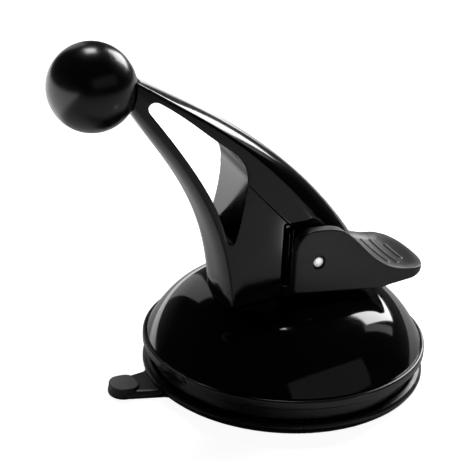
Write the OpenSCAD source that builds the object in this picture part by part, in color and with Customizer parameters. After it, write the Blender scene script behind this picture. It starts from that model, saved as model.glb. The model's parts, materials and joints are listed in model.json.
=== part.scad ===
// Windscreen suction base of a car phone mount: cup, domed housing, ball-ended arm and locking lever.
// Millimetres. Z is up from the glass, X runs from the ball end to the lever end,
// and the origin is the centre of the suction face.

/* [Base] */
// Outer radius of the domed base
rim_r = 29.5; // [28.5:0.5:30.5]
// Height of the top of the dome above the glass
dome_top = 19.7; // [19.2:0.1:20]
// Wall thickness of the dome cover
dome_wall = 2; // [1.6:0.2:2.4]
// Number of ribs in the inner frame
rib_count = 8; // [8:8:16]

/* [Ball] */
// Radius of the ball that a phone holder clamps
ball_r = 8.5; // [8:0.1:9]
// Ball centre along X
ball_x = -42.6; // [-43:0.1:-42]
// Ball centre above the glass
ball_z = 65.9; // [65.5:0.1:66.5]

/* [Arm] */
// Half the width of the arm across its limbs
arm_half_w = 7.2; // [7:0.1:7.3]
// How far the flat web sits back from the sides of the limbs
web_recess = 0.4; // [0.2:0.1:0.8]

/* [Lever] */
// Half the outer width of the lever
lever_half_w = 9.8; // [9.4:0.1:10.2]
// Thickness of each cheek of the lever
cheek_t = 2.3; // [2:0.1:2.4]
// Radius of the lever pin
pin_r = 1.25; // [1:0.05:1.4]
// Lift of the pull stem for each radian that the lever turns
lift_per_rad = 2; // [1.6:0.1:2]

/* [Hidden] */

$fn = 96;
eps = 0.01;

// Suction cup
cup_hole_r = 24;
cup_rest_r = 27.2;
cup_lip_r = rim_r - 0.1;
cup_t = 2.7;
tab_len = 38.7;
tab_half_w = 3.3;
tab_t = 1.9;
pad_t = 2.5;
vacuum_lift = 2.1;
skin_t = 1.4;
plate_r = 8;
plate_z = vacuum_lift + skin_t;
plate_t = 1;

// Inner frame
skirt_in_r = 25;
skirt_out_r = rim_r - 1.8;
flange_z = 6.4;
flange_top = 8.3;
plate_in_r = 15;
hub_r = 5.6;
hub_z = 12;
deck_z = 15.6;
deck_r = 14.5;
rib_t = 1.4;

// Dome profile: height falls from the crown with the fourth-and-a-bit power of the radius
dome_power = 4.79;
dome_foot_r = rim_r - 0.75;
dome_drop = (dome_top - flange_top) / pow(dome_foot_r / rim_r, dome_power);
inner_top = dome_top - dome_wall;
inner_foot_r = dome_foot_r - dome_wall + 0.15;
inner_drop = (inner_top - flange_top) / pow(inner_foot_r / rim_r, dome_power);

// Pull stem and its spring
stem_r = 2.5;
bush_r = 3.6;
spring_r = 4;
wire_r = 0.4;
washer_t = 0.5;
spring_z = plate_z + plate_t + washer_t;
stem_top = 35.3;
flat_x = 0.55;
flat_z = 25.3;

// Lever pivot and lift cams
pivot = [2, 28.1];
bar_z = 33.1;
cam_gap = 0.05;
cam_rise = bar_z - pivot[1] - cam_gap;
cam_in = 2.6;
cam_out = 4.7;
cam_hub_r = 2.5;
lever_travel = 60;
running = 0.05;

// Arm
foot_half_w = 6.6;
foot_in = 5;
foot_floor = 22.6;
web_edge_x = -4.5;
band_z = 35.9;
neck_half_w = 5.2;
spigot_r = 3;
spigot_tilt = 106;
screw_r = 1.1;
foot_screw_at = [[-11, -4], [-11, 4], [8.5, -3.2], [8.5, 3.2]];
dome_screw_r = 20;

// ---- Shared shapes ----

// Points of a cubic Bezier curve
function curve(p, n = 12) = [for (i = [0:n]) let (t = i / n)
    pow(1 - t, 3) * p[0] + 3 * pow(1 - t, 2) * t * p[1] + 3 * (1 - t) * t * t * p[2] + pow(t, 3) * p[3]];

// The same curve moved sideways by d, to the right of its direction
function slope(p, t) = 3 * pow(1 - t, 2) * (p[1] - p[0]) + 6 * (1 - t) * t * (p[2] - p[1])
    + 3 * t * t * (p[3] - p[2]);
function inset_curve(p, d, n = 12) = [for (i = [0:n]) let (t = i / n, s = slope(p, t), c = curve(p, n)[i])
    c + d * [s[1], -s[0]] / norm(s)];

// Points of an arc
function arc(c, r, a0, a1, n = 8) = [for (i = [0:n]) let (a = a0 + (a1 - a0) * i / n) c + r * [cos(a), sin(a)]];

// An outline drawn in X and Z, given its thickness along Y
module side_plate(points, y0, y1) {
    translate([0, y1, 0]) rotate([90, 0, 0]) linear_extrude(y1 - y0) polygon(points);
}

module round_bar_y(x, z, r, y0, y1) {
    translate([x, y1, z]) rotate([90, 0, 0]) cylinder(r = r, h = y1 - y0);
}

module tube(r_out, r_in, z0, z1) {
    translate([0, 0, z0]) difference() {
        cylinder(r = r_out, h = z1 - z0);
        translate([0, 0, -1]) cylinder(r = r_in, h = z1 - z0 + 2);
    }
}

// Solid under a dome surface, from the flange up
function dome_points(top, foot_r, drop, n = 18) = [for (i = [0:n]) let (r = foot_r * sin(90 * i / n))
    [r, top - drop * pow(r / rim_r, dome_power)]];

module dome_solid(top, foot_r, drop, floor_z) {
    rotate_extrude() polygon(concat([[0, floor_z]], dome_points(top, foot_r, drop), [[foot_r, floor_z]]));
}

module pan_screw(r, head_r, head_h, length) {
    translate([0, 0, -head_h]) cylinder(r = head_r, h = head_h);
    translate([0, 0, -eps]) cylinder(r = r, h = length + eps);
}

// ---- Suction cup ----

module suction_cup() {
    color("#1c1c1c") {
        difference() {
            union() {
                rotate_extrude() polygon([
                    [cup_hole_r, 0], [cup_rest_r, 0], [cup_rest_r + 1.5, 1], [cup_lip_r, 2.2], [cup_lip_r, 2.6],
                    [cup_lip_r - 0.4, 3], [skirt_out_r + 0.2, 3.4], [skirt_out_r + 0.05, cup_t],
                    [cup_hole_r, cup_t]]);
                linear_extrude(tab_t) pull_tab_outline();
                translate([-tab_len + tab_half_w, 0, 0]) cylinder(r = tab_half_w, h = pad_t);
            }
            translate([0, 0, -1]) cylinder(r = cup_hole_r, h = 5);
            translate([0, 0, cup_t]) cylinder(r = skirt_out_r + 0.05, h = 2);
        }
    }
}

module pull_tab_outline() {
    translate([-tab_len + tab_half_w, 0]) circle(r = tab_half_w);
    polygon([[-tab_len + tab_half_w, tab_half_w], [-cup_rest_r, tab_half_w + 1.3],
             [-cup_rest_r, -tab_half_w - 1.3], [-tab_len + tab_half_w, -tab_half_w]]);
}

module cup_diaphragm() {
    color("#242424") rotate_extrude() polygon([
        [0, vacuum_lift], [plate_r, vacuum_lift], [cup_hole_r - 1.5, 0], [cup_hole_r, 0],
        [cup_hole_r, skin_t], [plate_r + 0.5, plate_z], [0, plate_z]]);
}

module anchor_plate() {
    color("silver") tube(plate_r, stem_r - 1, plate_z, plate_z + plate_t);
}

// ---- Pull stem, its guide and its spring ----

module pull_stem() {
    color("gainsboro") difference() {
        union() {
            translate([0, 0, plate_z]) cylinder(r = stem_r - 1, h = plate_t + eps);
            translate([0, 0, plate_z + plate_t]) cylinder(r = stem_r, h = stem_top - plate_z - plate_t);
        }
        translate([flat_x, -5, flat_z]) cube([10, 10, 20]);
        translate([-0.9, 0, stem_top - 5]) cylinder(r = 0.8, h = 6);
    }
}

module spring_washer() {
    color("silver") tube(5.2, stem_r + 0.2, plate_z + plate_t, spring_z);
}

module return_spring() {
    turns = 4;
    sides = 8;
    steps = 14 * turns;
    height = hub_z - spring_z - 2 * wire_r;
    rings = [for (i = [0:steps]) for (j = [0:sides - 1])
        let (a = 360 * turns * i / steps, b = 360 * j / sides, r = spring_r + wire_r * cos(b))
        [r * cos(a), r * sin(a), spring_z + wire_r + height * i / steps + wire_r * sin(b)]];
    walls = [for (i = [0:steps - 1]) for (j = [0:sides - 1])
        let (k = (j + 1) % sides) [i * sides + j, (i + 1) * sides + j, (i + 1) * sides + k, i * sides + k]];
    ends = [[for (j = [0:sides - 1]) j], [for (j = [sides - 1:-1:0]) steps * sides + j]];
    color("#b0b0b0") polyhedron(points = rings, faces = concat(walls, ends));
}

module stem_bush() {
    color("ivory") tube(bush_r, stem_r + running, hub_z, dome_top - 0.1);
}

// ---- Base ----

module base_frame() {
    color("#2b2b2b") difference() {
        union() {
            tube(skirt_out_r, skirt_in_r, cup_t, flange_z + eps);
            tube(rim_r, plate_in_r, flange_z, flange_top);
            intersection() {
                dome_solid(inner_top, inner_foot_r, inner_drop, flange_top - eps);
                union() {
                    for (i = [0:rib_count - 1])
                        rotate([0, 0, 360 * i / rib_count])
                            translate([hub_r - 0.5, -rib_t / 2, flange_top - eps]) cube([24, rib_t, 12]);
                    translate([0, 0, hub_z]) cylinder(r = hub_r, h = 8);
                    translate([0, 0, deck_z]) cylinder(r = deck_r, h = 8);
                }
            }
        }
        translate([0, 0, hub_z - 1]) cylinder(r = bush_r, h = 12);
        for (at = foot_screw_at)
            translate([at[0], at[1], deck_z - 1]) cylinder(r = screw_r + 0.1, h = 8);
        for (i = [0:3])
            rotate([0, 0, 22.5 + 90 * i])
                translate([dome_screw_r, 0, flange_z - 1]) cylinder(r = screw_r + 0.1, h = 4);
    }
}

module dome_cover() {
    color("#101010") difference() {
        union() {
            difference() {
                dome_solid(dome_top, dome_foot_r, dome_drop, flange_top);
                dome_solid(inner_top, inner_foot_r, inner_drop, flange_top - 1);
            }
            intersection() {
                dome_solid(dome_top - dome_wall / 2, inner_foot_r, inner_drop, flange_top);
                for (i = [0:3])
                    rotate([0, 0, 22.5 + 90 * i])
                        translate([dome_screw_r, 0, flange_top]) cylinder(r = 2.2, h = 12);
            }
        }
        translate([0, 0, 5]) cylinder(r = bush_r, h = 20);
        for (at = foot_screw_at)
            translate([at[0], at[1], 10]) cylinder(r = screw_r + 0.1, h = 20);
        for (i = [0:3])
            rotate([0, 0, 22.5 + 90 * i])
                translate([dome_screw_r, 0, flange_top - 1]) cylinder(r = screw_r, h = 5);
    }
}

module dome_screws() {
    color("silver") for (i = [0:3])
        rotate([0, 0, 22.5 + 90 * i])
            translate([dome_screw_r, 0, flange_z]) pan_screw(screw_r, 2, 1.3, 5.4);
}

module foot_screws() {
    color("silver") for (at = foot_screw_at)
        translate([at[0], at[1], deck_z]) pan_screw(screw_r, 2, 1.3, 8.6);
}

// ---- Arm and ball ----

upper_limb = [[-32.9, 66.4], [-13.5, 56.6], [0.5, 47.2], [12, 31.4]];
tail = [[12, 31.4], [13.6, 29.2], [14.2, 25.5], [14.2, 16]];
lower_limb = [[-15.8, 16], [-16.4, 37], [-26, 47.5], [-34.5, 59.1]];

window = concat(
    curve([[-31.2, 63.4], [-26, 60.4], [-21.5, 56], [-17, 52.9]]),
    curve([[-17, 52.9], [-14, 50.8], [-13, 48.5], [-13.1, 45.5]], 8),
    curve([[-13.1, 45.5], [-13.2, 41.5], [-14, 37.5], [-15.2, 34]]),
    curve([[-15.2, 34], [-15.7, 32.8], [-16.6, 33.2], [-17, 34.6]], 6),
    curve([[-17, 34.6], [-19, 42.5], [-25, 51], [-33, 61.5]]),
    curve([[-33, 61.5], [-34, 62.8], [-32.8, 64.3], [-31.2, 63.4]], 6));

// Side view of the arm, drawn in from its outer edges by d
function arm_outline(d) = let (back = inset_curve(tail, d, 6)) concat(
    [[-38.2, 69.1 - 1.1 * d]],
    inset_curve(upper_limb, d),
    [for (i = [1:6]) back[i]],
    inset_curve(lower_limb, d),
    [[-37 + d, 62.5 + 0.8 * d]]);

module arm() {
    color("#0e0e0e") difference() {
        union() {
            intersection() {
                difference() {
                    union() {
                        side_plate(arm_outline(0), -4.2, 4.2);
                        side_plate(arm_outline(0.5), -5.8, 5.8);
                        side_plate(arm_outline(1.3), -arm_half_w, arm_half_w);
                    }
                    on_ball_axis() sphere(r = ball_r);
                    side_plate(window, -20, 20);
                    for (side = [-1, 1]) web_cut(side);
                }
                arm_plan();
            }
            on_ball_axis() cylinder(r = spigot_r, h = ball_r + 0.3);
        }
        dome_solid(dome_top, rim_r, dome_drop, 0);
        foot_hollow();
        round_bar_y(pivot[0], pivot[1], pin_r + running, -20, 20);
        for (at = foot_screw_at)
            translate([at[0], at[1], 10]) cylinder(r = screw_r, h = 14.4);
    }
}

// Plan view of the arm: it narrows towards the ball
module arm_plan() {
    edge = curve([[-38.5, neck_half_w], [-32, neck_half_w], [-28, arm_half_w], [-18, arm_half_w]]);
    linear_extrude(80) polygon(concat(edge, [[30, arm_half_w], [30, -arm_half_w]],
        [for (i = [len(edge) - 1:-1:0]) [edge[i][0], -edge[i][1]]]));
}

// Flat recessed web on one side, and the step down to the foot between the lever's cheeks
module web_cut(side) {
    web = [[-12.9, 45.3], [-3.6, band_z], [20, band_z], [20, 10], [-13.9, 10], [-15.2, 25.7], [-17, 32]];
    foot = [[web_edge_x, 10], [web_edge_x, band_z], [20, band_z], [20, 10]];
    notch = [[-6.6, 10], [-6.6, 23.3], [web_edge_x, 23.3], [web_edge_x, 10]];
    y_web = arm_half_w - web_recess;
    side_plate(web, side > 0 ? y_web : -20, side > 0 ? 20 : -y_web);
    side_plate(foot, side > 0 ? foot_half_w : -20, side > 0 ? 20 : -foot_half_w);
    side_plate(notch, side > 0 ? y_web - 1 : -20, side > 0 ? 20 : 1 - y_web);
}

// Room inside the foot for the stem head and the cams, with a slot in each side wall
module foot_hollow() {
    difference() {
        side_plate([[-4.4, foot_floor], [10.6, foot_floor], [10.6, 30], [6.6, 36], [3.4, 37.2], [-4.4, 37.2]],
            -foot_in, foot_in);
        for (y = [-3.2, 3.2])
            translate([8.5, y, foot_floor - 1]) cylinder(r = 2.1, h = 3.4);
    }
    translate([-3.5, -foot_in, 10]) cube([7, 2 * foot_in, 13]);
    translate([-4.4, -20, foot_floor]) cube([1.8, 40, 12.2]);
}

// Places things at the ball's centre, with +Z along the spigot towards the arm
module on_ball_axis() {
    translate([ball_x, 0, ball_z]) rotate([0, spigot_tilt, 0]) children();
}

module ball() {
    color("#222222") on_ball_axis() difference() {
        sphere(r = ball_r);
        cylinder(r = spigot_r, h = 14);
    }
}

// ---- Lever ----

paddle_top = [[7.4, 34.1], [12.2, 31], [14, 24.6], [22, 23.8]];
nose_x = 28.7;
grip_ribs = [[20.4, 5.8, 23.7], [22.6, 5.8, 23.4], [24.8, 3, 23.35]];

lever_side = concat(
    arc([pivot[0] - 4.3, 22.6], 0.8, 270, 180, 4),
    curve([[-3.1, 30], [-3.1, 33.2], [-1.6, 35.1], [0.6, 35.1]]),
    curve([[0.6, 35.1], [3, 35.1], [5.4, 35.2], [7.4, 34.1]], 4),
    curve(paddle_top),
    [[nose_x, 23.3], [nose_x, 22.9], [24, 21.3], [19, 20.6], [16.9, 20.1]]);

module lever_plan() {
    nose = [for (i = [0:16]) let (a = 90 - 180 * i / 16)
        [23.6 + (nose_x - 23.6) * pow(abs(cos(a)), 0.8), lever_half_w * sign(sin(a)) * pow(abs(sin(a)), 0.8)]];
    linear_extrude(60) polygon(concat([[-10, lever_half_w]], nose, [[-10, -lever_half_w]]));
}

module lever() {
    gap = lever_half_w - cheek_t;
    dish_half_w = lever_half_w - 1.5;
    dish = concat(inset_curve(paddle_top, 0.8), [[25, 23], [27.3, 23.6], [27.3, 60], [10, 60]]);
    under = [[16.6, 10], [16.6, 22.6], [19, 21.6], [24.2, 21.5], [24.6, 10]];
    color("#333333") {
        difference() {
            intersection() {
                side_plate(lever_side, -lever_half_w, lever_half_w);
                lever_plan();
            }
            side_plate([[-10, 10], [-10, 40], [14.8, 40], [14.8, 10]], -gap, gap);
            side_plate(under, -gap, gap);
            side_plate(dish, -dish_half_w, dish_half_w);
            round_bar_y(pivot[0], pivot[1], pin_r, -20, 20);
        }
        for (rib = grip_ribs)
            translate([rib[0] - 0.35, -rib[1], 22.4]) cube([0.7, 2 * rib[1], rib[2] - 22.4]);
    }
}

module lever_pin() {
    chamfer = 0.2;
    half = lever_half_w - 0.3;
    color("whitesmoke") translate([pivot[0], 0, pivot[1]]) rotate([90, 0, 0])
        rotate_extrude() polygon([[0, -half], [pin_r - chamfer, -half], [pin_r, chamfer - half],
                                  [pin_r, half - chamfer], [pin_r - chamfer, half], [0, half]]);
}

module pin_washers() {
    color("ivory") for (side = [-1, 1])
        translate([pivot[0], side * 7.05, pivot[1]]) rotate([90, 0, 0]) difference() {
            cylinder(r = 2.9, h = 0.8, center = true);
            cylinder(r = pin_r + running, h = 3, center = true);
        }
}

// Point of the involute cam when the lever has turned by a degrees, in the lever's own frame
function cam_point(a) = let (x = -lift_per_rad, z = cam_rise - lift_per_rad * a * PI / 180)
    [x * cos(a) + z * sin(a), z * cos(a) - x * sin(a)];

module lift_cams() {
    lobe = concat([for (i = [-1:12]) cam_point(lever_travel * i / 11)], [[2.2, 0], [-2.2, 0], [-2.9, 3]]);
    color("ivory") for (side = [-1, 1])
        translate([pivot[0], 0, pivot[1]]) difference() {
            union() {
                side_plate(lobe, side > 0 ? cam_in : -cam_out, side > 0 ? cam_out : -cam_in);
                round_bar_y(0, 0, cam_hub_r, side > 0 ? cam_in : -cam_out, side > 0 ? cam_out : -cam_in);
            }
            round_bar_y(0, 0, pin_r, -10, 10);
        }
}

// ---- Head of the pull stem ----

module lift_bar() {
    color("silver") difference() {
        translate([-3, -cam_out, bar_z]) cube([6, 2 * cam_out, stem_top - bar_z]);
        intersection() {
            translate([0, 0, bar_z - 1]) cylinder(r = stem_r, h = stem_top - bar_z + 2);
            translate([flat_x - 10, -5, bar_z - 1]) cube([10, 10, stem_top - bar_z + 2]);
        }
    }
}

module bar_washer() {
    color("silver") translate([-0.9, 0, 0]) tube(1.9, 0.9, stem_top, stem_top + 0.3);
}

module bar_screw() {
    color("dimgray") translate([-0.9, 0, stem_top + 0.3]) {
        cylinder(r = 1.6, h = 1);
        translate([0, 0, -4.6]) cylinder(r = 0.8, h = 4.6 + eps);
    }
}

suction_cup();
cup_diaphragm();
anchor_plate();
pull_stem();
spring_washer();
return_spring();
stem_bush();
base_frame();
dome_cover();
dome_screws();
foot_screws();
arm();
ball();
lever();
lever_pin();
pin_washers();
lift_cams();
lift_bar();
bar_washer();
bar_screw();
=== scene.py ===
"""Looks of a suction-cup car phone mount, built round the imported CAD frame.

Lengths in this script are in millimetres in the CAD frame, and mesh_piece() turns them into metres.
The arm, the lever and the cup are meshed from fields: functions of (x, y, z) that give the signed
distance to a surface, negative inside. The round pieces are turned from their sections.
"""

import json
import math

import bpy
import numpy as np
from mathutils import Matrix, Vector


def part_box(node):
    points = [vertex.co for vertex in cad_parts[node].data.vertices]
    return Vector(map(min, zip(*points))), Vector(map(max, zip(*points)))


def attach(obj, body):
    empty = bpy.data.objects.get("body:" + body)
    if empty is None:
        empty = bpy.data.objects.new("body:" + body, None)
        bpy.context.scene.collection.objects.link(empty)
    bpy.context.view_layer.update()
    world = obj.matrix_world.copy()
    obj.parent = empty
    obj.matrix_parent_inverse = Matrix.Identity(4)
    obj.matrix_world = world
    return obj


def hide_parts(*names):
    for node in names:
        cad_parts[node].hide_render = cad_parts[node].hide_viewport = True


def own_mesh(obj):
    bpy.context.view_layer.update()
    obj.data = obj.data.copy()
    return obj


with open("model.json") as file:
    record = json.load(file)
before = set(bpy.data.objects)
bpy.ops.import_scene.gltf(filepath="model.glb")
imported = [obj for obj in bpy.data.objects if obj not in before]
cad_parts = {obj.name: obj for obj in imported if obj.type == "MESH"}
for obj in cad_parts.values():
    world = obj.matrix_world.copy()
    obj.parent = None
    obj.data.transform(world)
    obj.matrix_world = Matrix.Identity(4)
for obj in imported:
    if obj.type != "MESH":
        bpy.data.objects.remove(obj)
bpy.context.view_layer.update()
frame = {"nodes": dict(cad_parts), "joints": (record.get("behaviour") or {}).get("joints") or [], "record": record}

MM = 0.001


# ---- Sizes, taken from the frame ----

def node_box(name):
    """A CAD node's lowest and highest corners, in millimetres"""
    low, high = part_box(name)
    return np.array(low) / MM, np.array(high) / MM


def record_item(items, name):
    return next(item for item in items if item["name"] == name)


STUD = record_item(frame["record"]["mounts"], "ball_stud")
HINGE = record_item(frame["joints"], "lever_hinge")

BALL_AT = np.array(STUD["pos_m"]) / MM
BALL_AXIS = np.array(STUD["axis"])
BALL_R = STUD["dims"]["r_mm"]
PIVOT_X = HINGE["pos_m"][0] / MM
PIVOT_Z = HINGE["pos_m"][2] / MM

RIM_R = node_box("base_frame")[1][1]
DOME_FOOT_R = node_box("dome_cover")[1][1]
DOME_FOOT_Z = node_box("dome_cover")[0][2]
DOME_TOP = node_box("dome_cover")[1][2]
DOME_POWER = 4.79
DOME_DROP = (DOME_TOP - DOME_FOOT_Z) / (DOME_FOOT_R / RIM_R) ** DOME_POWER
DOME_WALL = 2.0
INNER_TOP = DOME_TOP - DOME_WALL
INNER_FOOT_R = DOME_FOOT_R - DOME_WALL + 0.15
INNER_DROP = (INNER_TOP - DOME_FOOT_Z) / (INNER_FOOT_R / RIM_R) ** DOME_POWER
BUSH_R = node_box("stem_bush")[1][1]

ARM_HALF_W = node_box("arm")[1][1]
FOOT_HALF_W = 6.6
WEB_RECESS = 0.4
LEVER_HALF_W = node_box("lever")[1][1]
NOSE_X = node_box("lever")[1][0]
CHEEK_T = 2.3
PIN_R = node_box("lever_pin")[1][2] - PIVOT_Z
PIN_HALF = node_box("lever_pin")[1][1]

CUP_LIP_R = node_box("suction_cup")[1][1]
CUP_TOP = node_box("suction_cup")[1][2]
CUP_HOLE_R = node_box("cup_diaphragm")[1][1]
SKIRT_R = RIM_R - 1.8
TAB_TIP_X = node_box("suction_cup")[0][0]


# ---- Curves ----

def curve(points, n=18):
    """Points along a cubic Bezier curve"""
    a, b, c, d = np.array(points, float)
    t = np.linspace(0, 1, n + 1)[:, None]
    return (1 - t) ** 3 * a + 3 * (1 - t) ** 2 * t * b + 3 * (1 - t) * t * t * c + t ** 3 * d


def arc(centre, r, start, end, n=8):
    """Points along an arc between two angles in degrees"""
    angles = np.radians(np.linspace(start, end, n + 1))
    return np.array(centre) + r * np.stack([np.cos(angles), np.sin(angles)], 1)


def loop(*runs):
    """One closed outline from several runs of points, without the points that repeat"""
    points = np.concatenate([np.atleast_2d(np.array(run, float)) for run in runs])
    step = np.linalg.norm(points - np.roll(points, 1, 0), axis=1)
    return points[step > 1e-3]


# ---- Fields ----

def outline(points, u, v):
    """Signed distance to a closed outline in a plane"""
    u, v = np.broadcast_arrays(u, v)
    near = np.full(u.shape, 1e9)
    inside = np.zeros(u.shape, bool)
    for (au, av), (bu, bv) in zip(points, np.roll(points, -1, 0)):
        eu, ev = bu - au, bv - av
        pu, pv = u - au, v - av
        t = np.clip((pu * eu + pv * ev) / (eu * eu + ev * ev), 0, 1)
        near = np.minimum(near, (pu - t * eu) ** 2 + (pv - t * ev) ** 2)
        inside ^= ((av > v) != (bv > v)) & (pu < eu * pv / (ev or 1e-9))
    return np.where(inside, -1, 1) * np.sqrt(near)


def meet(a, b, r):
    """Where two fields overlap, with outer edges rounded to radius r"""
    outer = np.sqrt(np.maximum(a + r, 0) ** 2 + np.maximum(b + r, 0) ** 2)
    return np.minimum(np.maximum(a, b), -r) + outer


def cut(a, b, r):
    """The first field without the second"""
    return meet(a, -b, r)


def join(a, b, r):
    """Both fields, with the corner between them filled to radius r"""
    return -meet(-a, -b, r)


def bar_along_y(x, z, at_x, at_z, r):
    """Signed distance to an endless round bar along Y"""
    return np.hypot(x - at_x, z - at_z) - r


def rounding_off(value, start, end):
    """0 before start, 1 after end, and smooth between"""
    t = np.clip((value - start) / (end - start), 0, 1)
    return t * t * (3 - 2 * t)


# ---- Meshes ----

def surface_net(field, low, high, step):
    """Points and quads of the surface where a field is zero, one point in each cell it crosses"""
    axes = [np.arange(a, b + step, step) for a, b in zip(low, high)]
    x, y, z = np.ix_(*axes)
    value = np.broadcast_to(field(x, y, z), [len(a) for a in axes]).copy()
    inside = value < 0
    corners = [(i, j, k) for i in (0, 1) for j in (0, 1) for k in (0, 1)]
    shape = tuple(n - 1 for n in value.shape)
    filled = np.zeros(shape, np.int8)
    for i, j, k in corners:
        filled += inside[i:shape[0] + i, j:shape[1] + j, k:shape[2] + k]
    cells = np.argwhere((filled > 0) & (filled < 8))
    # a cell's point is the mean of the places where the surface crosses its edges
    total = np.zeros((len(cells), 3))
    count = np.zeros(len(cells))
    for a in corners:
        for axis in range(3):
            if a[axis]:
                continue
            b = tuple(c + (n == axis) for n, c in enumerate(a))
            va = value[tuple((cells + a).T)]
            vb = value[tuple((cells + b).T)]
            crossed = (va < 0) != (vb < 0)
            t = np.where(crossed, va / np.where(crossed, va - vb, 1), 0)
            total += crossed[:, None] * (np.array(a) + t[:, None] * (np.arange(3) == axis))
            count += crossed
    points = np.array(low) + step * (cells + total / count[:, None])
    number = -np.ones(shape, int)
    number[tuple(cells.T)] = np.arange(len(cells))
    # each grid edge that the surface crosses gets a quad between its four cells
    quads = []
    for axis in range(3):
        p, q = (axis + 1) % 3, (axis + 2) % 3
        ahead = np.roll(inside, -1, axis)
        crossed = inside != ahead
        index = [slice(1, -1)] * 3
        index[axis] = slice(0, -1)
        edges = np.argwhere(crossed[tuple(index)]) + [0 if n == axis else 1 for n in range(3)]
        ring = []
        for dp, dq in ((0, 0), (-1, 0), (-1, -1), (0, -1)):
            cell = edges.copy()
            cell[:, p] += dp
            cell[:, q] += dq
            ring.append(number[tuple(cell.T)])
        ring = np.stack(ring, 1)
        leaving = inside[tuple(edges.T)]
        quads.append(np.where(leaving[:, None], ring, ring[:, ::-1]))
    return points, np.concatenate(quads)


def slope(field, points, reach):
    """Gradient of a field at each point, over a distance of reach either way"""
    steps = np.eye(3) * reach
    return np.stack([
        (field(*(points + s).T) - field(*(points - s).T)) / (2 * reach) for s in steps], 1)


# how far either way a gradient is taken, and the least steepness that a point's move is worked out with
NEAR = 0.03
LEAST_STEEP = 0.2


def field_piece(name, field, node, step, material, smooth=0.25):
    """A piece meshed from a field within a node's box: points on the surface, normals from the field"""
    low, high = node_box(node)
    points, quads = surface_net(field, low - 2 * step, high + 2 * step, step)
    for _ in range(2):
        gradient = slope(field, points, NEAR)
        steep = np.maximum((gradient ** 2).sum(1), LEAST_STEEP)
        move = -(field(*points.T) / steep)[:, None] * gradient
        points = np.clip(points + np.clip(move, -step / 2, step / 2), low, high)
    # points that the box has pressed together become one, and faces left without an area are dropped
    points, merged = np.unique(points.round(3), axis=0, return_inverse=True)
    quads = merged.reshape(-1)[quads]
    folded = (quads[:, 0] == quads[:, 2]) | (quads[:, 1] == quads[:, 3])
    faces = [list(dict.fromkeys(face)) for face in quads[~folded].tolist()]
    faces = [face for face in faces if len(face) > 2]
    normals = slope(field, points, smooth)
    normals /= np.maximum(np.linalg.norm(normals, axis=1), 1e-9)[:, None]
    return mesh_piece(name, points, faces, material, normals)


def mesh_piece(name, points, faces, material, normals=None):
    """A smooth-shaded object from points in millimetres"""
    mesh = bpy.data.meshes.new(name)
    faces = [[int(i) for i in face] for face in faces]
    mesh.from_pydata((np.array(points) * MM).tolist(), [], faces)
    mesh.polygons.foreach_set("use_smooth", [True] * len(mesh.polygons))
    mesh.materials.append(material)
    mesh.update()
    if normals is not None:
        mesh.normals_split_custom_set_from_vertices(normals.tolist())
    piece = bpy.data.objects.new(name, mesh)
    bpy.context.scene.collection.objects.link(piece)
    return piece


def rounded(section, radii, n=5):
    """A closed section with its corners rounded, and a point held just beside each rounding"""
    section = np.array(section, float)
    radii = np.broadcast_to(radii, len(section))
    out = []
    for before, at, after, r in zip(np.roll(section, 1, 0), section, np.roll(section, -1, 0), radii):
        into, away = before - at, after - at
        if r <= 0 or min(np.linalg.norm(into), np.linalg.norm(away)) < 1e-6:
            out.append([at])
            continue
        into_len, away_len = np.linalg.norm(into), np.linalg.norm(away)
        into, away = into / into_len, away / away_len
        half = math.acos(np.clip(into @ away, -1, 1)) / 2
        back = min(r / math.tan(half), 0.45 * into_len, 0.45 * away_len)
        t = np.linspace(0, 1, n + 1)[:, None]
        start, end = at + into * back, at + away * back
        hold = 0.1 * back
        bend = (1 - t) ** 2 * start + 2 * t * (1 - t) * at + t * t * end
        out.append(np.concatenate([[start + into * hold], bend, [end + away * hold]]))
    return np.concatenate(out)


def turned(section, segments=192, dent=None):
    """Points and quads of a ring turned about Z from a closed section of (radius, height)"""
    angles = np.linspace(0, 2 * math.pi, segments, endpoint=False)
    r, z = np.array(section, float).T
    radius = np.broadcast_to(r, (segments, len(r)))
    if dent is not None:
        radius = dent(radius, angles[:, None])
    points = np.stack([
        radius * np.cos(angles)[:, None],
        radius * np.sin(angles)[:, None],
        np.broadcast_to(z, (segments, len(z)))], 2).reshape(-1, 3)
    n = len(r)
    a = np.arange(segments)[:, None] * n
    b = np.roll(a, -1, 0)
    i = np.arange(n)[None, :]
    j = np.roll(i, -1, 1)
    quads = np.stack([a + i, b + i, b + j, a + j], 2).reshape(-1, 4)
    return points, quads


def capped(section, segments=128):
    """Points and faces of a solid turned about Z from an open section that runs from axis to axis"""
    section = np.array(section, float)
    middle = section[1:-1]
    points, quads = turned(middle, segments)
    n = len(middle)
    keep = quads.reshape(segments, n, 4)[:, :-1].reshape(-1, 4).tolist()
    first, last = len(points), len(points) + 1
    points = np.concatenate([points, [[0, 0, section[0][1]], [0, 0, section[-1][1]]]])
    for k in range(segments):
        this, following = k * n, (k + 1) % segments * n
        keep.append([first, following, this])
        keep.append([last, this + n - 1, following + n - 1])
    return points, keep


def together(*meshes):
    """Several sets of points and faces as one"""
    points, faces = [], []
    for more_points, more_faces in meshes:
        start = sum(len(p) for p in points)
        points.append(np.array(more_points, float))
        faces += [[int(i) + start for i in face] for face in more_faces]
    return np.concatenate(points), faces


def facing(points, axis, at):
    """Points turned from the Z axis to another axis, and moved"""
    turn = Vector((0, 0, 1)).rotation_difference(Vector([float(a) for a in axis])).to_matrix()
    return points @ np.array(turn).T + np.array(at)


# ---- Materials ----

def node_tree(name):
    """A new material with its node tree and main shader"""
    material = bpy.data.materials.new(name)
    material.use_nodes = True
    tree = material.node_tree
    return material, tree, tree.nodes["Principled BSDF"]


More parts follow.
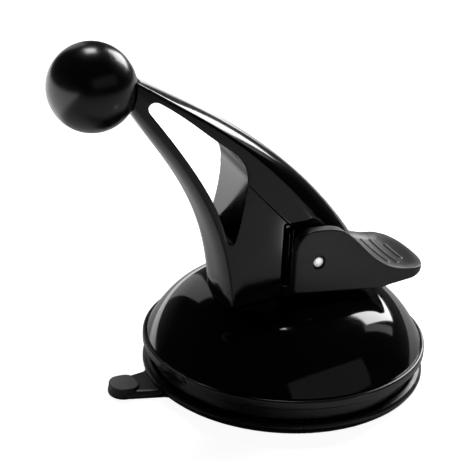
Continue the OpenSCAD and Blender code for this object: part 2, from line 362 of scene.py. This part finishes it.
def noise(tree, size_mm, detail=3.0, stretch=(1, 1, 1)):
    """Noise whose features are about size_mm across, drawn out along an axis by stretch"""
    place = tree.nodes.new("ShaderNodeTexCoord")
    mapping = tree.nodes.new("ShaderNodeMapping")
    mapping.inputs["Scale"].default_value = [1 / s for s in stretch]
    texture = tree.nodes.new("ShaderNodeTexNoise")
    texture.inputs["Scale"].default_value = 1 / (size_mm * MM)
    texture.inputs["Detail"].default_value = detail
    tree.links.new(place.outputs["Object"], mapping.inputs["Vector"])
    tree.links.new(mapping.outputs["Vector"], texture.inputs["Vector"])
    return texture.outputs["Fac"]


def ranged(tree, source, low, high, from_low=0.3, from_high=0.7):
    """A source's middle range stretched to run from low to high"""
    node = tree.nodes.new("ShaderNodeMapRange")
    node.inputs["From Min"].default_value = from_low
    node.inputs["From Max"].default_value = from_high
    node.inputs["To Min"].default_value = low
    node.inputs["To Max"].default_value = high
    tree.links.new(source, node.inputs["Value"])
    return node.outputs["Result"]


def maths(tree, operation, a, b):
    """A sum, product or the like of two sockets or numbers"""
    node = tree.nodes.new("ShaderNodeMath")
    node.operation = operation
    for socket, value in zip(node.inputs, (a, b)):
        if isinstance(value, (int, float)):
            socket.default_value = value
        else:
            tree.links.new(value, socket)
    return node.outputs[0]


def mixed_colour(tree, factor, a, b):
    node = tree.nodes.new("ShaderNodeMix")
    node.data_type = "RGBA"
    node.inputs[6].default_value = (*a, 1)
    node.inputs[7].default_value = (*b, 1)
    tree.links.new(factor, node.inputs[0])
    return node.outputs[2]


def bumped(tree, shader, height, depth_mm, strength=1.0, under=None):
    """Relief from a height, laid over an earlier relief where one is given"""
    node = tree.nodes.new("ShaderNodeBump")
    node.inputs["Strength"].default_value = strength
    node.inputs["Distance"].default_value = depth_mm * MM
    tree.links.new(height, node.inputs["Height"])
    if under is not None:
        tree.links.new(under, node.inputs["Normal"])
    tree.links.new(node.outputs["Normal"], shader.inputs["Normal"])
    return node.outputs["Normal"]


def moulded(name, dark, light, rough, grain_mm, grain_depth, smudge=0.06, scratch=0.05, specular=0.5):
    """Moulded plastic: cloudy roughness, faint wipe marks, a fine grain and slightly paler edges"""
    material, tree, shader = node_tree(name)
    cloud = ranged(tree, noise(tree, 14, 4), 0, smudge)
    wipes = ranged(tree, noise(tree, 0.6, 2, (18, 1, 6)), 0, scratch, 0.55, 0.8)
    roughness = maths(tree, "ADD", maths(tree, "ADD", cloud, wipes), rough)
    tree.links.new(roughness, shader.inputs["Roughness"])
    geometry = tree.nodes.new("ShaderNodeNewGeometry")
    edges = ranged(tree, geometry.outputs["Pointiness"], 0, 0.5, 0.5, 0.62)
    speckle = ranged(tree, noise(tree, 5, 5), 0, 0.5)
    colour = mixed_colour(tree, maths(tree, "ADD", edges, speckle), dark, light)
    tree.links.new(colour, shader.inputs["Base Color"])
    shader.inputs["Specular IOR Level"].default_value = specular
    flow = bumped(tree, shader, noise(tree, 6, 2), 0.01, 0.25)
    bumped(tree, shader, noise(tree, grain_mm, 3), grain_depth, 1.0, flow)
    return material


def steel(name, colour, rough, draw=(1, 1, 20)):
    """Bare metal with fine tool marks drawn out along one axis"""
    material, tree, shader = node_tree(name)
    marks = noise(tree, 0.12, 3, draw)
    tree.links.new(ranged(tree, marks, rough, rough + 0.18), shader.inputs["Roughness"])
    dull = [c * 0.72 for c in colour]
    tree.links.new(mixed_colour(tree, ranged(tree, noise(tree, 2, 4), 0, 1), colour, dull),
                   shader.inputs["Base Color"])
    shader.inputs["Metallic"].default_value = 1
    bumped(tree, shader, marks, 0.004, 0.6)
    return material


GLOSS = moulded("gloss_black_plastic", (0.002, 0.002, 0.0022), (0.0045, 0.0045, 0.0048), 0.05, 0.9, 0.0004,
                smudge=0.05)
ARM_GLOSS = moulded("arm_gloss_plastic", (0.002, 0.002, 0.0022), (0.006, 0.006, 0.0064), 0.08, 0.7, 0.0003)
FRAME_BLACK = moulded("frame_black_plastic", (0.006, 0.006, 0.0065), (0.012, 0.012, 0.0125), 0.2, 0.5,
                      0.002)
LEVER_GREY = moulded("lever_grey_plastic", (0.012, 0.012, 0.0125), (0.024, 0.024, 0.025), 0.36, 0.22, 0.006,
                     scratch=0.08)
BALL_BLACK = moulded("ball_black_plastic", (0.003, 0.003, 0.0032), (0.008, 0.008, 0.0084), 0.21, 0.5, 0.002,
                     smudge=0.04, scratch=0.015)
PAD_RUBBER = moulded("pad_frosted_rubber", (0.07, 0.07, 0.072), (0.11, 0.11, 0.112), 0.5, 0.25, 0.01)
RUBBER = moulded("cup_rubber", (0.004, 0.004, 0.0042), (0.009, 0.009, 0.0093), 0.26, 0.35, 0.004,
                 smudge=0.15)
NYLON = moulded("bush_nylon", (0.75, 0.73, 0.66), (0.82, 0.8, 0.72), 0.4, 0.3, 0.004)
CAM_BLACK = moulded("cam_black_nylon", (0.006, 0.006, 0.006), (0.014, 0.014, 0.014), 0.45, 0.3, 0.004)
PIN_STEEL = steel("pin_steel", (0.97, 0.97, 0.97), 0.14)
SCREW_STEEL = steel("screw_steel", (0.6, 0.6, 0.61), 0.22)
SPRING_STEEL = steel("spring_steel", (0.55, 0.55, 0.56), 0.25)
BLACK_STEEL = steel("black_oxide_steel", (0.02, 0.02, 0.021), 0.4)


# ---- Dome and inner frame ----

DOME_EDGE_R = 0.25
BOSS_COUNT = 4
BOSS_AT = 20
BOSS_R = 2.2
BOSS_INTO_ROOF = 0.6


def dome_height(r, top=DOME_TOP, drop=DOME_DROP):
    """Height of the dome's outside at a radius"""
    return top - drop * (r / RIM_R) ** DOME_POWER


def inner_height(r):
    """Height of the dome's inside at a radius"""
    return dome_height(r, INNER_TOP, INNER_DROP)


def dome_cover():
    """The glossy shell, with the hole for the stem bush, and the screw bosses under it"""
    spread = np.sin(np.radians(np.linspace(0, 90, 64)))
    outer_r = BUSH_R + (DOME_FOOT_R - BUSH_R) * spread
    inner_r = BUSH_R + (INNER_FOOT_R - BUSH_R) * spread[::-2]
    outer = np.stack([outer_r, dome_height(outer_r)], 1)
    outer[-1] = [DOME_FOOT_R, DOME_FOOT_Z + DOME_EDGE_R]
    edge = arc((DOME_FOOT_R - DOME_EDGE_R, DOME_FOOT_Z + DOME_EDGE_R), DOME_EDGE_R, 0, -90, 5)
    inner = np.stack([inner_r, inner_height(inner_r)], 1)
    shell = turned(loop(outer, edge, inner)[::-1], 256)
    roof = inner_height(BOSS_AT) + BOSS_INTO_ROOF
    boss, faces = capped([[0, DOME_FOOT_Z], [BOSS_R, DOME_FOOT_Z], [BOSS_R, roof], [0, roof]], 32)
    bosses = []
    for k in range(BOSS_COUNT):
        angle = math.radians(22.5 + 90 * k)
        bosses.append((boss + [BOSS_AT * math.cos(angle), BOSS_AT * math.sin(angle), 0], faces))
    piece = mesh_piece("dome_shell", *together(shell, *bosses), GLOSS)
    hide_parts("dome_cover")
    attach(piece, "root")


RIM_LOW = 6.4
DENT_ANGLE = math.radians(196.5)
DENT_DEPTH = 0.7
HUB_R = 5.6
HUB_Z = 12
DECK_R = 14.5
DECK_Z = 15.6
RIB_COUNT = 8
RIB_HALF_T = 0.7
UNDER_DOME = 0.05


def rim_dent(radius, angle):
    """A shallow notch in the rim band, beside the pull tab"""
    beside = np.abs(angle - DENT_ANGLE) * RIM_R
    depth = DENT_DEPTH * (1 - rounding_off(beside, 2.9, 3.5))
    return radius - np.where(radius > RIM_R - 0.9, depth, 0)


def frame_rib(angle):
    """Points and faces of an upright rib between hub and rim, whose top follows the dome's inside"""
    r = np.linspace(HUB_R - 0.4, INNER_FOOT_R - 0.3, 16)
    roof = inner_height(r) - UNDER_DOME
    points = []
    for y in (-RIB_HALF_T, RIB_HALF_T):
        points += [[a, y, DOME_FOOT_Z - 0.1] for a in r]
        points += [[a, y, b] for a, b in zip(r, roof)]
    n = len(r)
    faces = []
    for low in range(n - 1):
        high = low + n
        faces.append([low, low + 1, high + 1, high])
        faces.append([2 * n + low, 2 * n + high, 2 * n + high + 1, 2 * n + low + 1])
        faces.append([high, high + 1, 2 * n + high + 1, 2 * n + high])
        faces.append([low, 2 * n + low, 2 * n + low + 1, low + 1])
    faces.append([0, n, 3 * n, 2 * n])
    faces.append([n - 1, 3 * n - 1, 4 * n - 1, 2 * n - 1])
    turn = Matrix.Rotation(angle, 3, "Z")
    return np.array(points) @ np.array(turn).T, faces


def base_frame():
    """The inner frame: skirt, rim band, hub, deck and ribs"""
    band = rounded([
        [15, RIM_LOW], [25, RIM_LOW], [25, 2.7], [SKIRT_R, 2.7], [SKIRT_R, RIM_LOW], [RIM_R, RIM_LOW],
        [RIM_R, DOME_FOOT_Z], [15, DOME_FOOT_Z]], [0.2, 0, 0.2, 0.2, 0.15, 0.5, 0.45, 0.2])
    hub_top = inner_height(HUB_R) - UNDER_DOME
    deck_top = inner_height(DECK_R) - UNDER_DOME
    hub = rounded([[BUSH_R, HUB_Z], [HUB_R, HUB_Z], [HUB_R, DECK_Z], [DECK_R, DECK_Z], [DECK_R, deck_top],
                   [HUB_R, hub_top], [BUSH_R, hub_top]], 0.15, 2)
    ribs = [frame_rib(2 * math.pi * k / RIB_COUNT) for k in range(RIB_COUNT)]
    piece = mesh_piece("inner_frame", *together(turned(band, 256, rim_dent), turned(hub, 96), *ribs),
                       FRAME_BLACK)
    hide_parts("base_frame")
    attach(piece, "root")


# ---- Suction cup ----

CUP_REST_R = 27.2
TAB_HALF_W = 3.2
TAB_T = 1.9
PAD_LOW = 1
PAD_TOP = 2.7
PAD_FACE_Z = PAD_TOP - 0.45
PAD_END_X = TAB_TIP_X + 6
THUMB_R = 13.8
PAD_PLAN = loop(
    arc((TAB_TIP_X + 2.9, -0.4), 2.6, 180, 270), arc((TAB_TIP_X + 3.9, -0.9), 2.1, 270, 360),
    arc((TAB_TIP_X + 3.9, 0.9), 2.1, 0, 90), arc((TAB_TIP_X + 2.9, 0.4), 2.6, 90, 180))
CUP_SECTION = loop([
    [CUP_HOLE_R, 0], [CUP_REST_R - 0.2, 0], [CUP_REST_R + 0.9, 0.4], [CUP_REST_R + 1.6, 1],
    [CUP_LIP_R, 1.9], [CUP_LIP_R, 2.5], [CUP_LIP_R - 0.4, 3], [SKIRT_R + 0.3, 3.35], [SKIRT_R + 0.1, 2.7],
    [CUP_HOLE_R, 2.7]])
TAB_PLAN = loop(
    arc((TAB_TIP_X + TAB_HALF_W, 0), TAB_HALF_W, 90, 270, 16),
    [[-CUP_REST_R + 2, -TAB_HALF_W - 2.4], [-CUP_REST_R + 2, TAB_HALF_W + 2.4]])


def cup_field(x, y, z):
    """Ring with a soft lip, and a pull tab that ends in a raised finger pad"""
    lip = outline(CUP_SECTION, np.hypot(x, y), z)
    tab = meet(outline(TAB_PLAN, x, y), np.abs(z - TAB_T / 2) - TAB_T / 2, 0.8)
    pad_mid, pad_half = (PAD_TOP + PAD_LOW) / 2, (PAD_TOP - PAD_LOW) / 2
    pad = meet(outline(PAD_PLAN, x, y), np.abs(z - pad_mid) - pad_half, 0.25)
    thumb = np.sqrt((x - TAB_TIP_X - 3.1) ** 2 + y * y + (z - PAD_TOP - THUMB_R + 0.2) ** 2) - THUMB_R
    tab = join(tab, cut(pad, thumb, 0.3), 0.12)
    return join(lip, tab, 0.6)


def suction_cup():
    """The soft cup ring and its tab, with a frosted face on the finger pad"""
    piece = field_piece("cup_and_tab", cup_field, "suction_cup", 0.32, RUBBER)
    piece.data.materials.append(PAD_RUBBER)
    for polygon in piece.data.polygons:
        x, _, z = polygon.center / MM
        polygon.material_index = int(x < PAD_END_X and z > PAD_FACE_Z)
    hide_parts("suction_cup")
    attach(piece, "root")


def cup_diaphragm():
    """The cup's thin middle, turned from its section"""
    top = node_box("cup_diaphragm")[1][2]
    skin = 1.4
    vault = top - skin
    under = curve([[0, vault], [13, vault], [16, 0.1], [CUP_HOLE_R - 0.6, 0]], 24)
    over = curve([[CUP_HOLE_R, skin], [18, 1.5], [15, top], [0, top]], 24)
    section = np.concatenate([under, [[CUP_HOLE_R, 0.05]], over])
    piece = mesh_piece("cup_skin", *capped(section, 160), RUBBER)
    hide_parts("cup_diaphragm")
    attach(piece, "root")
    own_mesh(piece)


# ---- Arm and ball ----

LIMB_LOW = [[-15.8, 16], [-16.4, 37], [-26, 47.5], [-34.5, 59.1]]
ARM_SPINE = loop(
    [[-38.2, 69.1]],
    curve([[-32.9, 66.4], [-13.5, 56.6], [0.5, 47.2], [12, 31.4]], 72),
    curve([[12, 31.4], [13.6, 29.2], [14.2, 25.5], [14.2, 16]], 10),
    curve(LIMB_LOW, 30),
    [[-37, 62.5]])
ARM_CREASE = loop(
    [[-39.4, 69.4]],
    curve([[-36.1, 67.8], [-19, 57.5], [-9.2, 49.6], [0.5, 36.9]], 72),
    curve([[0.5, 36.9], [4, 32.4], [10.5, 29], [12.2, 22]], 10),
    [[12.2, 16]],
    curve([[-14.6, 16], [-15.2, 37], [-24, 48.2], [-33.2, 60.1]], 30),
    [[-36.5, 64.2]])
WINDOW = loop(
    curve([[-31.2, 63.4], [-26, 60.4], [-21.5, 56], [-17, 52.9]]),
    curve([[-17, 52.9], [-14, 50.8], [-13, 48.5], [-13.1, 45.5]], 10),
    curve([[-13.1, 45.5], [-13.2, 41.5], [-14, 37.5], [-15.2, 34]]),
    curve([[-15.2, 34], [-15.7, 32.8], [-16.6, 33.2], [-17, 34.6]], 8),
    curve([[-17, 34.6], [-19, 42.5], [-25, 51], [-33, 61.5]]),
    curve([[-33, 61.5], [-34, 62.8], [-32.8, 64.3], [-31.2, 63.4]], 8))
WEB = loop([[-12.9, 45.3], [-3.6, 35.9], [20, 35.9], [20, 10], [-13.9, 10], [-15.2, 25.7], [-17, 32]])
FOOT = loop([[-4.5, 10], [-4.5, 35.9], [20, 35.9], [20, 10]])
NOTCH = loop([[-6.6, 10], [-6.6, 23.3], [-4.2, 23.3], [-4.2, 10]])
HOLLOW = loop([[-4.4, 22.6], [10.6, 22.6], [10.6, 30], [6.6, 36], [3.4, 37.2], [-4.4, 37.2]])
SIDE_SLOT = loop([[-4.4, 22.6], [-4.4, 34.8], [-2.6, 34.8], [-2.6, 22.6]])
STEM_SLOT = loop([[-3.5, 10], [-3.5, 23.6], [3.5, 23.6], [3.5, 10]])


ARM_TAPER = 2.1
CROWN_POWER = 3
CROWN_LIMIT = 1.4
LEAN_HEIGHT = 4.5
HOLLOW_HALF_W = 5
SHELL_WALL = 1.2


def arm_field(x, y, z):
    """Two crowned limbs and a recessed web, standing on a foot that is hollow for the lift cams"""
    side = np.abs(y)
    spine = outline(ARM_SPINE, x, z)
    crease = outline(ARM_CREASE, x, z)
    taper = ARM_HALF_W - ARM_TAPER * rounding_off(-x, 27, 38.5)
    crown = np.minimum((side / taper) ** CROWN_POWER, CROWN_LIMIT)
    body = spine + (crease - spine) * crown
    lean = 0.12 * np.clip(LEAN_HEIGHT + crease, 0, LEAN_HEIGHT)
    body = meet(body, side - taper + lean, 0.35)
    shell = body
    body = cut(body, outline(WINDOW, x, z), 0.4)
    web = np.maximum(outline(WEB, x, z), ARM_HALF_W - WEB_RECESS - side)
    foot = np.maximum(outline(FOOT, x, z), FOOT_HALF_W - side)
    notch = np.maximum(outline(NOTCH, x, z), ARM_HALF_W - WEB_RECESS - 1 - side)
    body = cut(body, web, 0.12)
    body = cut(body, foot, 0.3)
    body = cut(body, notch, 0.3)
    body = cut(body, outline(SIDE_SLOT, x, z), 0.1)
    room = np.maximum(np.maximum(outline(HOLLOW, x, z), side - HOLLOW_HALF_W), shell + SHELL_WALL)
    body = cut(body, room, 0.1)
    body = cut(body, np.maximum(outline(STEM_SLOT, x, z), side - HOLLOW_HALF_W), 0.1)
    body = cut(body, bar_along_y(x, z, PIVOT_X, PIVOT_Z, PIN_R + 0.05), 0.1)
    # the foot ends on the dome, and the top end is a seat for the ball
    r = np.hypot(x, y)
    fall = DOME_DROP * DOME_POWER / RIM_R * (r / RIM_R) ** (DOME_POWER - 1)
    body = meet(body, (dome_height(r) - z) / np.sqrt(1 + fall ** 2), 0.3)
    seat = np.sqrt((x - BALL_AT[0]) ** 2 + y * y + (z - BALL_AT[2]) ** 2) - BALL_R
    return cut(body, seat, 0.25)


def arm():
    piece = field_piece("arm_body", arm_field, "arm", 0.28, ARM_GLOSS)
    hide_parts("arm")
    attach(piece, "root")


BALL_INSET = 0.02
PARTING_LINE = 0.006


def ball():
    """The ball, with a hair-thin parting line round its middle"""
    angles = np.radians(np.concatenate([
        np.linspace(-90, -1.5, 60), np.linspace(-0.9, 0.9, 7), np.linspace(1.5, 90, 60)]))
    proud = PARTING_LINE * (np.abs(angles) < math.radians(0.5))
    r = BALL_R - BALL_INSET
    section = np.stack([(r + proud) * np.cos(angles), r * np.sin(angles)], 1)
    points, faces = capped(section, 160)
    piece = mesh_piece("ball_body", facing(points, BALL_AXIS, BALL_AT), faces, BALL_BLACK)
    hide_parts("ball")
    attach(piece, "root")


# ---- Lever and pin ----

PADDLE_TOP = curve([[7.4, 34.1], [12.2, 31.1], [14.6, 24.9], [22.6, 23.8]], 24)
LEVER_SIDE = loop(
    arc((PIVOT_X - 4.3, 22.6), 0.8, 270, 180, 6),
    curve([[-3.1, 30], [-3.1, 33.2], [-1.6, 35.1], [0.6, 35.1]]),
    curve([[0.6, 35.1], [3, 35.1], [5.4, 35.2], [7.4, 34.1]], 8),
    PADDLE_TOP,
    [[NOSE_X + 0.6, 23.2], [NOSE_X + 0.6, 23], [24, 21.3], [19, 20.6], [16.9, 20.1]])
ABOVE_PADDLE = loop(PADDLE_TOP, [[NOSE_X + 2, 23.1], [NOSE_X + 2, 60], [6, 60]])
NOSE_START_X = 23.6
LEVER_PLAN = loop(
    [[-10, LEVER_HALF_W]],
    [[NOSE_START_X + (NOSE_X - NOSE_START_X) * math.cos(a) ** 0.8,
      LEVER_HALF_W * math.copysign(abs(math.sin(a)) ** 0.8, a)] for a in np.linspace(1.5, -1.5, 41)],
    [[-10, -LEVER_HALF_W]])
UNDER = loop([[16.6, 10], [16.6, 22.4], [19, 21.6], [24.2, 21.7], [24.6, 10]])
DISH_DEPTH = 0.7
GRIP_RIBS = ((20.4, 5.8), (22.6, 5.8), (24.8, 3.4))
GRIP_RIB_R = 0.32


def lever_field(x, y, z):
    """A forked lever whose dished paddle has three grip ribs"""
    side = np.abs(y)
    gap = LEVER_HALF_W - CHEEK_T
    plan = outline(LEVER_PLAN, x, y)
    body = meet(outline(LEVER_SIDE, x, z), plan, 0.22)
    fork = meet(x - 14.8, side - gap, 0.8)
    body = cut(body, fork, 0.3)
    body = cut(body, meet(outline(UNDER, x, z), side - gap, 0.6), 0.3)
    sag = DISH_DEPTH * np.clip(1 - (y / (LEVER_HALF_W - 0.3)) ** 2, 0, 1) * rounding_off(-plan, 0, 4)
    above = outline(ABOVE_PADDLE, x, z)
    body = cut(body, above - sag, 0.15)
    for rib_x, half in GRIP_RIBS:
        in_line = np.maximum(side - half, 0)
        away = np.sqrt((x - rib_x) ** 2 + in_line ** 2 + (above - sag - 0.1) ** 2)
        body = join(body, away - GRIP_RIB_R, 0.2)
    bore = bar_along_y(x, z, PIVOT_X, PIVOT_Z, PIN_R + 0.02)
    return cut(body, bore, 0.3)


def lever():
    piece = field_piece("lever_body", lever_field, "lever", 0.2, LEVER_GREY, 0.15)
    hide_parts("lever")
    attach(piece, "lever")


def lever_pin():
    """A turned pin with flat, chamfered ends"""
    chamfer = 0.2
    end = [[0, PIN_HALF], [0.4, PIN_HALF], [PIN_R - chamfer - 0.04, PIN_HALF],
           [PIN_R - chamfer, PIN_HALF - 0.01], [PIN_R, PIN_HALF - chamfer], [PIN_R, PIN_HALF - 0.3]]
    section = [[r, -z] for r, z in end] + end[::-1]
    points, faces = capped(section, 64)
    piece = mesh_piece("pin_body", facing(points, (0, 1, 0), (PIVOT_X, 0, PIVOT_Z)), faces, PIN_STEEL)
    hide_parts("lever_pin")
    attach(piece, "lever")


# ---- Finishes of the CAD nodes that stay ----

NODE_FINISH = {
    "anchor_plate": SCREW_STEEL,
    "pull_stem": BLACK_STEEL,
    "spring_washer": SCREW_STEEL,
    "return_spring": SPRING_STEEL,
    "stem_bush": NYLON,
    "dome_screws": SCREW_STEEL,
    "foot_screws": SCREW_STEEL,
    "pin_washers": CAM_BLACK,
    "lift_cams": CAM_BLACK,
    "lift_bar": BLACK_STEEL,
    "bar_washer": BLACK_STEEL,
    "bar_screw": BLACK_STEEL,
}


def finish_nodes():
    for name, material in NODE_FINISH.items():
        for slot in frame["nodes"][name].material_slots:
            slot.material = material


# ---- Camera, floor and lights ----

def camera():
    """The photo's view: from in front and above, a little rolled"""
    azimuth, elevation, roll = math.radians(25), math.radians(24.08), math.radians(2.793)
    distance = 0.2989
    target = Vector((-0.01166, 0, 0.03134))
    forward = Vector((math.cos(elevation) * math.sin(azimuth), math.cos(elevation) * math.cos(azimuth),
                      -math.sin(elevation)))
    level = Vector((math.cos(azimuth), -math.sin(azimuth), 0))
    upright = level.cross(forward)
    right = level * math.cos(roll) + upright * math.sin(roll)
    up = upright * math.cos(roll) - level * math.sin(roll)
    data = bpy.data.cameras.new("camera")
    data.lens = 112.93
    data.sensor_width = 36
    data.clip_start = 0.01
    place = Matrix((right, up, -forward)).transposed().to_4x4()
    place.translation = target - forward * distance
    item = bpy.data.objects.new("camera", data)
    item.matrix_world = place
    bpy.context.scene.collection.objects.link(item)
    bpy.context.scene.camera = item


def camera_share(tree, seen, unseen):
    """One shader for the camera's own rays, and another for all the light that bounces"""
    path = tree.nodes.new("ShaderNodeLightPath")
    mix = tree.nodes.new("ShaderNodeMixShader")
    tree.links.new(path.outputs["Is Camera Ray"], mix.inputs[0])
    tree.links.new(unseen, mix.inputs[1])
    tree.links.new(seen, mix.inputs[2])
    return mix.outputs[0]


def along(tree, coordinates, direction):
    """How far a place or direction reaches along another direction"""
    dot = tree.nodes.new("ShaderNodeVectorMath")
    dot.operation = "DOT_PRODUCT"
    tree.links.new(coordinates, dot.inputs[0])
    dot.inputs[1].default_value = direction
    return dot.outputs["Value"]


def floor():
    """A plain pale floor: near white to the camera, in reflections grey but bright to the left and back"""
    half = 3.0
    mesh = bpy.data.meshes.new("floor")
    corners = [(-half, -half, 0), (half, -half, 0), (half, half, 0), (-half, half, 0)]
    mesh.from_pydata(corners, [], [(0, 1, 2, 3)])
    material, tree, shader = node_tree("floor_paper")
    shader.inputs["Base Color"].default_value = (0.7, 0.7, 0.7, 1)
    shader.inputs["Roughness"].default_value = 1
    shader.inputs["Specular IOR Level"].default_value = 0
    place = tree.nodes.new("ShaderNodeTexCoord")
    left_back = along(tree, place.outputs["Object"], (-0.7, 0.7, 0))
    shine = tree.nodes.new("ShaderNodeEmission")
    tree.links.new(ranged(tree, left_back, 0, 1.4, 0.08, 0.105), shine.inputs["Strength"])
    glow = tree.nodes.new("ShaderNodeEmission")
    glow.inputs["Strength"].default_value = 0.94
    sums = []
    for light in (glow, shine):
        both = tree.nodes.new("ShaderNodeAddShader")
        tree.links.new(shader.outputs[0], both.inputs[0])
        tree.links.new(light.outputs[0], both.inputs[1])
        sums.append(both.outputs[0])
    output = tree.nodes["Material Output"]
    tree.links.new(camera_share(tree, *sums), output.inputs["Surface"])
    mesh.materials.append(material)
    item = bpy.data.objects.new("floor", mesh)
    bpy.context.scene.collection.objects.link(item)
    item.location.z = -0.00002


def surroundings():
    """Near white to the camera. In reflections: dark overhead and in front, and grey low down behind"""
    world = bpy.data.worlds.new("studio")
    bpy.context.scene.world = world
    world.use_nodes = True
    tree = world.node_tree
    white = tree.nodes["Background"]
    white.inputs["Color"].default_value = (0.96, 0.96, 0.96, 1)
    place = tree.nodes.new("ShaderNodeTexCoord")
    low_down = ranged(tree, along(tree, place.outputs["Generated"], (0, 0, 1)), 1, 0, 0.1, 0.36)
    behind = ranged(tree, along(tree, place.outputs["Generated"], (0.42, 0.91, 0)), 0, 1, 0.4, 0.9)
    room = tree.nodes.new("ShaderNodeBackground")
    tree.links.new(ranged(tree, maths(tree, "MULTIPLY", low_down, behind), 0.01, 0.12, 0, 1),
                   room.inputs["Strength"])
    output = tree.nodes["World Output"]
    tree.links.new(camera_share(tree, white.outputs[0], room.outputs[0]), output.inputs["Surface"])


def softbox(name, azimuth, elevation, distance, width, height, radiance):
    """A soft light seen from the object at an azimuth (0 is +X, 90 is +Y) and elevation, facing it"""
    data = bpy.data.lights.new(name, "AREA")
    data.shape = "RECTANGLE"
    data.size = width
    data.size_y = height
    data.energy = radiance * math.pi * width * height
    item = bpy.data.objects.new(name, data)
    turn, rise = math.radians(azimuth), math.radians(elevation)
    away = Vector((math.cos(rise) * math.cos(turn), math.cos(rise) * math.sin(turn), math.sin(rise)))
    item.location = Vector((-0.005, 0, 0.025)) + away * distance
    item.rotation_euler = away.to_track_quat("Z", "Y").to_euler()
    item.visible_camera = False
    bpy.context.scene.collection.objects.link(item)


def lights():
    """The key light, the others that show in the photo's reflections, and a small one for the pin's end"""
    softbox("light_key", 32, 29, 0.9, 0.42, 0.42, 10)
    softbox("light_side", 9, 30, 0.9, 0.12, 0.4, 0.9)
    softbox("light_top_back", 80, 62, 0.9, 0.24, 0.24, 13)
    softbox("light_back", 88, 17, 0.9, 0.25, 0.55, 0.6)
    softbox("light_front", -72, 30, 1.0, 1.2, 0.42, 0.17)
    softbox("light_low_front", -61, -18, 0.077, 0.012, 0.014, 2.2)


dome_cover()
base_frame()
suction_cup()
cup_diaphragm()
arm()
ball()
lever()
lever_pin()
finish_nodes()
camera()
floor()
surroundings()
lights()
# the default view transform would turn the near-white background grey
bpy.context.scene.view_settings.view_transform = "Standard"
